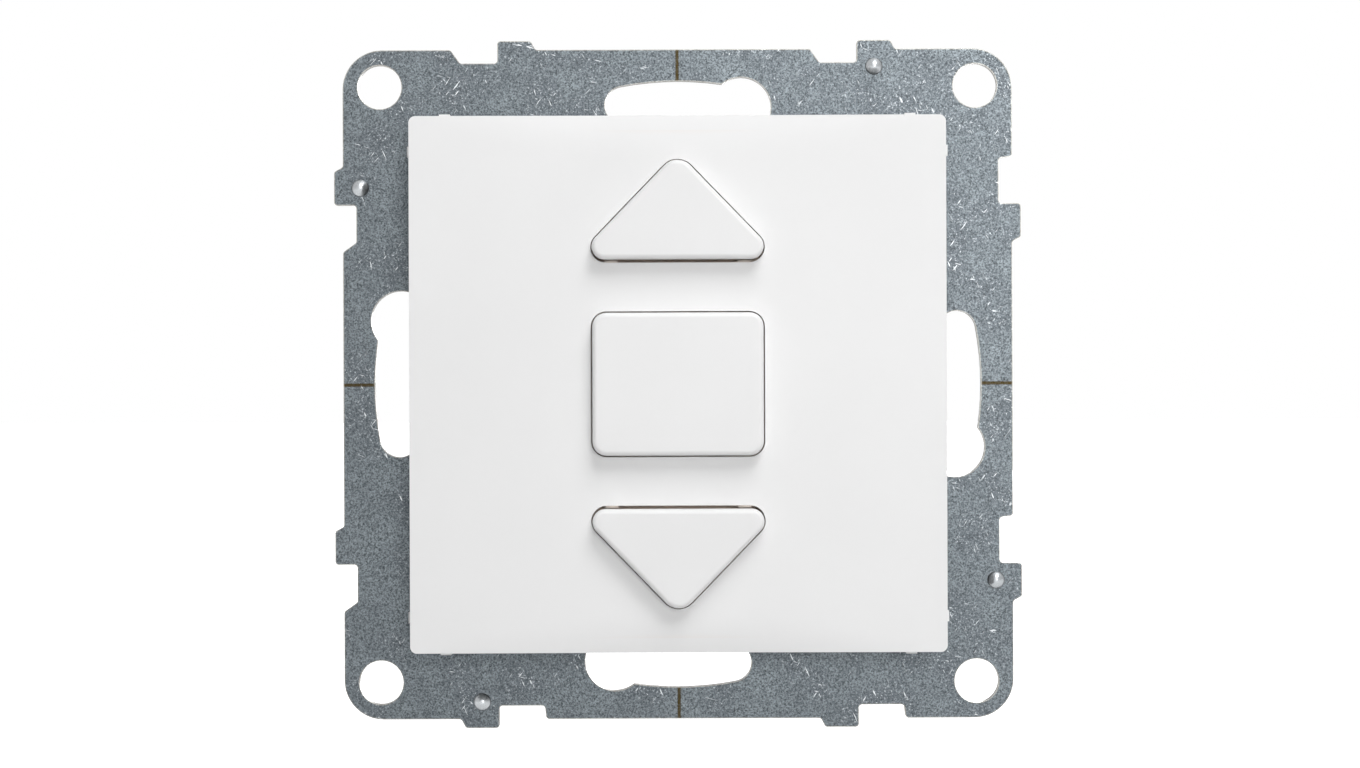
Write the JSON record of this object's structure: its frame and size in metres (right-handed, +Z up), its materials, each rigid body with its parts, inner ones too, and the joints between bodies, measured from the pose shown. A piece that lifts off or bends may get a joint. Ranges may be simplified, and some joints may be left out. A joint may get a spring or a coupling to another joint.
{
  "type": "roller shutter switch",
  "caption": "Flush roller shutter switch: steel mounting plate, square white cover, and up, stop and down keys over a housing with terminals.",
  "frame": {"origin": "centre of the plate in the wall plane, which is the plate's rear face", "axes": "+Y into the wall, +Z up, +X to the right as seen from the room"},
  "size_m": [0.0718, 0.036, 0.0718],
  "materials": {
    "plate_steel": "galvanised sheet, mottled",
    "cover_plastic": "white, satin",
    "key_plastic": "white, satin",
    "plunger_plastic": "natural white",
    "latch_plastic": "black",
    "lid_plastic": "dark grey, fine texture",
    "housing_plastic": "dark grey, fine texture",
    "brass": "stamped",
    "contact_bronze": "rolled, satin",
    "spring_steel": "bright spring steel",
    "pusher_plastic": "orange",
    "claw_steel": "zinc plated",
    "screw_steel": "zinc plated"
  },
  "bodies": {
    "base": {"mounting_plate": "plate_steel", "cover_plate": "cover_plastic", "housing_lid": "lid_plastic", "housing_body": "housing_plastic", "line_strip": "brass", "up_strip": "brass", "down_strip": "brass", "up_spring": "spring_steel", "down_spring": "spring_steel", "latch_spring": "spring_steel"},
    "up_key": {"up_button": "key_plastic", "up_plunger": "plunger_plastic"},
    "stop_key": {"stop_button": "key_plastic", "stop_plunger": "plunger_plastic"},
    "down_key": {"down_button": "key_plastic", "down_plunger": "plunger_plastic"},
    "up_contact": {"up_blade": "contact_bronze"},
    "down_contact": {"down_blade": "contact_bronze"},
    "latch": {"latch_bar": "latch_plastic"},
    "line_release": {"line_pusher": "pusher_plastic"},
    "up_release": {"up_pusher": "pusher_plastic"},
    "down_release": {"down_pusher": "pusher_plastic"},
    "line_grip": {"line_clamp": "spring_steel"},
    "up_grip": {"up_clamp": "spring_steel"},
    "down_grip": {"down_clamp": "spring_steel"},
    "right_claw": {"right_claw": "claw_steel"},
    "left_claw": {"left_claw": "claw_steel"},
    "right_screw": {"right_claw_screw": "screw_steel"},
    "left_screw": {"left_claw_screw": "screw_steel"}
  },
  "joints": [
    {"name": "up_press", "type": "slide", "parent": "base", "child": "up_key", "axis": [0, 1, 0], "range_m": [0, 0.0016], "stiffness_N_per_m": 1500, "springref_m": -0.001, "deforming": ["up_spring"]},
    {"name": "stop_press", "type": "slide", "parent": "base", "child": "stop_key", "axis": [0, 1, 0], "range_m": [0, 0.0016], "stiffness_N_per_m": 1500, "springref_m": -0.001},
    {"name": "down_press", "type": "slide", "parent": "base", "child": "down_key", "axis": [0, 1, 0], "range_m": [0, 0.0016], "stiffness_N_per_m": 1500, "springref_m": -0.001, "deforming": ["down_spring"]},
    {"name": "up_blade_swing", "type": "hinge", "parent": "base", "child": "up_contact", "pos_m": [0.008, 0.00375, 0.0025], "axis": [-1, 0, 0], "range_deg": [0, 7.7]},
    {"name": "down_blade_swing", "type": "hinge", "parent": "base", "child": "down_contact", "pos_m": [-0.008, 0.00375, -0.0025], "axis": [1, 0, 0], "range_deg": [0, 7.7]},
    {"name": "latch_shift", "type": "slide", "parent": "base", "child": "latch", "axis": [0, 0, 1], "range_m": [0, 0.0009], "deforming": ["latch_spring"]},
    {"name": "line_release_press", "type": "slide", "parent": "base", "child": "line_release", "axis": [0, -1, 0], "range_m": [0, 0.0016], "stiffness_N_per_m": 800, "springref_m": -0.0005},
    {"name": "line_grip_open", "type": "hinge", "parent": "base", "child": "line_grip", "pos_m": [0.0055, 0.0175, 0], "axis": [0, 0, 1], "range_deg": [0, 28.5]},
    {"name": "up_release_press", "type": "slide", "parent": "base", "child": "up_release", "axis": [0, -1, 0], "range_m": [0, 0.0016], "stiffness_N_per_m": 800, "springref_m": -0.0005},
    {"name": "up_grip_open", "type": "hinge", "parent": "base", "child": "up_grip", "pos_m": [0.0035, 0.0175, 0.013], "axis": [0, 0, -1], "range_deg": [0, 28.5]},
    {"name": "down_release_press", "type": "slide", "parent": "base", "child": "down_release", "axis": [0, -1, 0], "range_m": [0, 0.0016], "stiffness_N_per_m": 800, "springref_m": -0.0005},
    {"name": "down_grip_open", "type": "hinge", "parent": "base", "child": "down_grip", "pos_m": [-0.0035, 0.0175, -0.013], "axis": [0, 0, 1], "range_deg": [0, 28.5]},
    {"name": "right_screw_turn", "type": "hinge", "parent": "base", "child": "right_screw", "pos_m": [0.0236, 0, 0], "axis": [0, 1, 0], "range_deg": [0, 576]},
    {"name": "right_claw_spread", "type": "hinge", "parent": "base", "child": "right_claw", "pos_m": [0.02085, 0.009, 0], "axis": [0, 0, -1], "range_deg": [0, 20.1]},
    {"name": "left_screw_turn", "type": "hinge", "parent": "base", "child": "left_screw", "pos_m": [-0.0236, 0, 0], "axis": [0, 1, 0], "range_deg": [0, 576]},
    {"name": "left_claw_spread", "type": "hinge", "parent": "base", "child": "left_claw", "pos_m": [-0.02085, 0.009, 0], "axis": [0, 0, 1], "range_deg": [0, 20.1]}
  ],
  "couplings": [
    {"joint": "up_blade_swing", "follows": "up_press", "rad_per_m": 83},
    {"joint": "down_blade_swing", "follows": "down_press", "rad_per_m": 83},
    {"joint": "latch_shift", "follows": "stop_press", "ratio": 0.5},
    {"joint": "line_grip_open", "follows": "line_release_press", "rad_per_m": 305.4},
    {"joint": "up_grip_open", "follows": "up_release_press", "rad_per_m": 305.4},
    {"joint": "down_grip_open", "follows": "down_release_press", "rad_per_m": 305.4},
    {"joint": "right_claw_spread", "follows": "right_screw_turn", "ratio": 0.034722},
    {"joint": "left_claw_spread", "follows": "left_screw_turn", "ratio": 0.034722}
  ]
}
